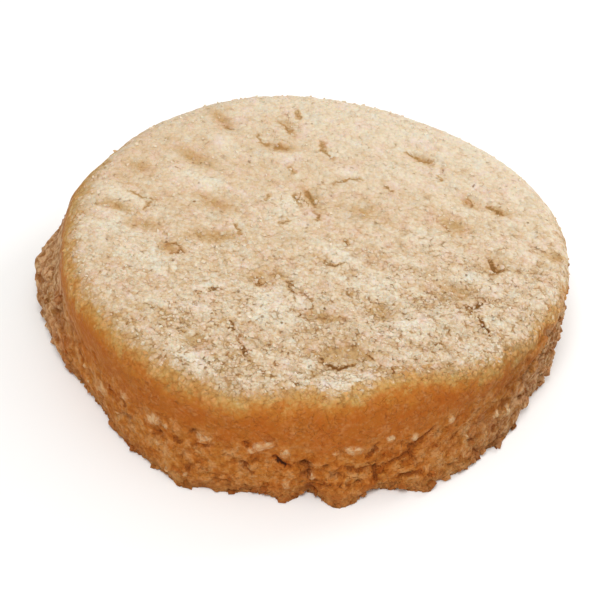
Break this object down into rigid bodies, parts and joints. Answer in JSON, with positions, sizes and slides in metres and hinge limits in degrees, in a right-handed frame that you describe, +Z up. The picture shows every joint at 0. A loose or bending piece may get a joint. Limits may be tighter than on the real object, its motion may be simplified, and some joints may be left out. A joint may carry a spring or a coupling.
{
  "type": "shortbread biscuit",
  "caption": "Thick round shortbread biscuit with a pale sugared top, a browned wall and a crumbly uneven foot.",
  "frame": {"origin": "middle of the flat base, on the surface that the biscuit rests on", "axes": "+Z up through the top, -Y towards the front of the biscuit, +X to its right"},
  "size_m": [0.0654, 0.062, 0.0151],
  "materials": {
    "baked_crumb": "matte"
  },
  "bodies": {
    "root": {"biscuit": "baked_crumb"}
  },
  "joints": []
}
